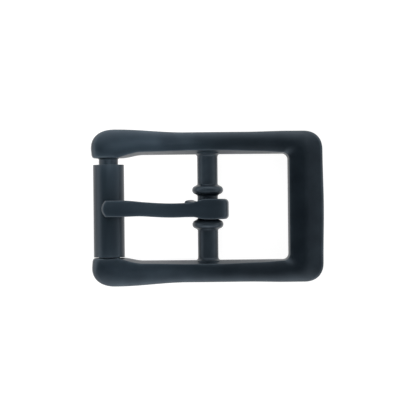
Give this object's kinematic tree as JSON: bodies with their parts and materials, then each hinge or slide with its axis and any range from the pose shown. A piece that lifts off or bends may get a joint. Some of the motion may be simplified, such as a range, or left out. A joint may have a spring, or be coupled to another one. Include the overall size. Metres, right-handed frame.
{
  "type": "roller buckle",
  "caption": "Matte black centre-bar roller buckle: one-piece cast frame with bead collars on its bar, a closed-loop tongue and a loose roller of rolled strip.",
  "frame": {"origin": "the middle of the buckle in plan, in the plane that the buckle rests on; the centre bar's axis is straight above it", "axes": "+X along the strap, from the roller to the end bar; +Y across the strap; +Z out of the buckle's front"},
  "size_m": [0.057, 0.0384, 0.0097],
  "materials": {
    "cast_frame": "matte",
    "rolled_steel": "matte",
    "tongue_metal": "matte"
  },
  "bodies": {
    "frame_body": {"frame": "cast_frame"},
    "roller_body": {"roller": "rolled_steel"},
    "tongue_body": {"tongue": "tongue_metal"}
  },
  "joints": [
    {"name": "roller_spin", "type": "hinge", "parent": "frame_body", "child": "roller_body", "pos_m": [-0.02425, 0, 0.0039], "axis": [0, 1, 0], "continuous": true},
    {"name": "tongue_swing", "type": "hinge", "parent": "frame_body", "child": "tongue_body", "pos_m": [0, 0, 0.004], "axis": [0, 1, 0], "range_deg": [0, 158]}
  ]
}
